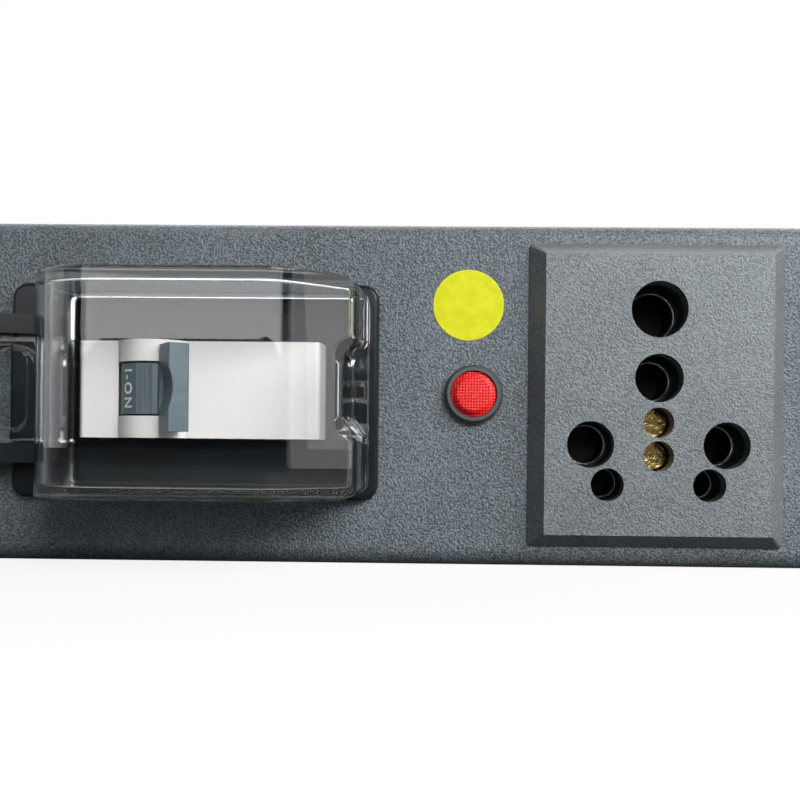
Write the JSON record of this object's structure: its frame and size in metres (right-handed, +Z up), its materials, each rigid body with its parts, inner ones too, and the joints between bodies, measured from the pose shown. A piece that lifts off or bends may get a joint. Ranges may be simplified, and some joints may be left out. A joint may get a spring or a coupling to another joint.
{
  "type": "power distribution unit",
  "caption": "Rack-mount power distribution strip: black steel housing with round-pin outlets, a red lamp and a breaker under a clear hinged lid",
  "frame": {"origin": "centre of the four rack slots, on the plane where the ears meet the rack rails", "axes": "X along the unit to the right as seen from the front, front face toward -Y, Z up"},
  "size_m": [0.4826, 0.1097, 0.066],
  "materials": {
    "powder_coat": "fine-textured black powder coat",
    "screw_steel": "zinc-plated steel",
    "rail_steel": "zinc-plated folded rail",
    "window_black": "black moulded plastic, light grain",
    "clear_plastic": "clear moulded plastic",
    "breaker_white": "white moulded plastic",
    "toggle_grey": "blue-grey moulded plastic",
    "clip_grey": "grey moulded plastic",
    "brass": "bright brass",
    "contact_bronze": "dull dark bronze",
    "lamp_black": "satin black plastic",
    "lamp_red": "red translucent lens with a fine grid",
    "bulb_glass": "clear neon bulb",
    "copper": "plain copper bar",
    "line_red": "red wire insulation",
    "neutral_black": "black wire insulation",
    "earth_green": "green wire insulation",
    "block_ivory": "ivory moulded plastic",
    "gland_black": "black moulded nylon",
    "seal_rubber": "black rubber",
    "outlet_black": "black moulded plastic, fine spark-eroded grain"
  },
  "bodies": {
    "chassis": {"block_screws": "screw_steel", "breaker_case": "breaker_white", "breaker_terminal_screws": "screw_steel", "breaker_terminals": "brass", "cover_screws": "screw_steel", "din_rail": "rail_steel", "earth_bar": "copper", "earth_bond_lead": "earth_green", "earth_contacts": "contact_bronze", "earth_lead": "earth_green", "earth_stud": "screw_steel", "earth_stud_nut": "screw_steel", "front_channel": "powder_coat", "gland_body": "gland_black", "gland_cap": "gland_black", "gland_locknut": "gland_black", "gland_seal": "seal_rubber", "lamp_bezel": "lamp_black", "lamp_bulb": "bulb_glass", "lamp_leads": "neutral_black", "lamp_lens": "lamp_red", "lamp_nut": "lamp_black", "lamp_terminals": "brass", "left_end_bracket": "powder_coat", "line_bar": "copper", "line_contacts": "contact_bronze", "line_lead": "line_red", "neutral_bar": "copper", "neutral_contacts": "contact_bronze", "neutral_lead": "neutral_black", "outlet_1_back": "outlet_black", "outlet_1_face": "outlet_black", "outlet_2_back": "outlet_black", "outlet_2_face": "outlet_black", "outlet_3_back": "outlet_black", "outlet_3_face": "outlet_black", "outlet_4_back": "outlet_black", "outlet_4_face": "outlet_black", "outlet_5_back": "outlet_black", "outlet_5_face": "outlet_black", "outlet_screws": "brass", "rear_cover": "powder_coat", "right_end_bracket": "powder_coat", "supply_terminal_block": "block_ivory", "window_base": "window_black", "window_hinge_pin": "screw_steel"},
    "lid": {"window_lid": "clear_plastic"},
    "toggle": {"breaker_toggle": "toggle_grey"},
    "rail_clip": {"breaker_rail_clip": "clip_grey"}
  },
  "joints": [
    {"name": "lid_hinge", "type": "hinge", "parent": "chassis", "child": "lid", "pos_m": [-0.1785, -0.0076, 0], "axis": [0, 0, -1], "range_deg": [0, 140]},
    {"name": "toggle_swing", "type": "hinge", "parent": "chassis", "child": "toggle", "pos_m": [-0.1448, -0.005, 0], "axis": [0, 0, -1], "range_deg": [0, 68]},
    {"name": "rail_clip_slide", "type": "slide", "parent": "chassis", "child": "rail_clip", "axis": [-1, 0, 0], "range_m": [0, 0.004]}
  ]
}
